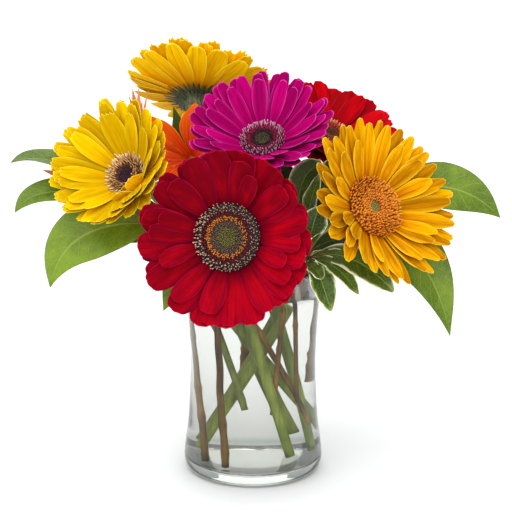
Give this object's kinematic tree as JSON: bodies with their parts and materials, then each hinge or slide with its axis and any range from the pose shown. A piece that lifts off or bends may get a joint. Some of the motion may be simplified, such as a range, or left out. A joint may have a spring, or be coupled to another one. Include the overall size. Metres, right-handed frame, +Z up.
{
  "type": "gerberas in a vase",
  "caption": "Hand-tied bunch of mixed gerberas with alstroemeria, salal leaves and variegated pittosporum, standing in water in a flared clear glass vase.",
  "frame": {"origin": "middle of the vase's flat underside", "axes": "+Z up; -Y is the front of the bunch, where the largest red flower faces; +X is to the right seen from the front"},
  "size_m": [0.356, 0.2301, 0.3197],
  "materials": {
    "clear_glass": "clear soda glass, polished, faintly green where it is thick",
    "water": "clear still water",
    "crimson_petal": "velvety crimson petals, brighter red along their middles",
    "lemon_petal": "satin lemon yellow petals with fine ribs",
    "amber_petal": "satin amber petals, brighter yellow inside",
    "magenta_petal": "satin magenta petals, darker towards the eye",
    "scarlet_petal": "velvety scarlet petals with darker edges",
    "gold_petal": "satin golden orange petals with fine ribs",
    "crimson_eye": "dense florets in rings: olive, orange, dark red and pale tips",
    "lemon_eye": "tan florets round a dark purple middle",
    "amber_eye": "tan florets round an olive middle",
    "magenta_eye": "crimson florets with pale tips round a dark olive middle",
    "scarlet_eye": "orange and yellow florets round an olive middle",
    "gold_eye": "orange brown florets round a green middle",
    "gerbera_stem": "fresh green stem and cup, finely downy",
    "salal_leaf": "leathery green leaf with pale veins on brown woody twigs",
    "variegated_leaf": "grey green waved leaf with a cream edge",
    "alstroemeria_green": "smooth green stem and lance leaves",
    "orange_tepal": "silky orange tepals, the inner ones striped"
  },
  "bodies": {
    "root": {"vase": "clear_glass", "water": "water", "redFront_petals": "crimson_petal", "redFront_eye": "crimson_eye", "redFront_stem": "gerbera_stem", "yellowLeft_petals": "lemon_petal", "yellowLeft_eye": "lemon_eye", "yellowLeft_stem": "gerbera_stem", "amberTop_petals": "amber_petal", "amberTop_eye": "amber_eye", "amberTop_stem": "gerbera_stem", "magenta_petals": "magenta_petal", "magenta_eye": "magenta_eye", "magenta_stem": "gerbera_stem", "redBack_petals": "scarlet_petal", "redBack_eye": "scarlet_eye", "redBack_stem": "gerbera_stem", "goldRight_petals": "gold_petal", "goldRight_eye": "gold_eye", "goldRight_stem": "gerbera_stem", "salalLeft": "salal_leaf", "salalLow": "salal_leaf", "salalFront": "salal_leaf", "salalRight": "salal_leaf", "salalBack": "salal_leaf", "pittosporumLow": "variegated_leaf", "pittosporumHigh": "variegated_leaf", "alstroemeria_stem": "alstroemeria_green", "alstroemeria_bloomRight": "orange_tepal", "alstroemeria_bloomLeft": "orange_tepal", "alstroemeria_bloomTop": "orange_tepal"}
  },
  "joints": []
}
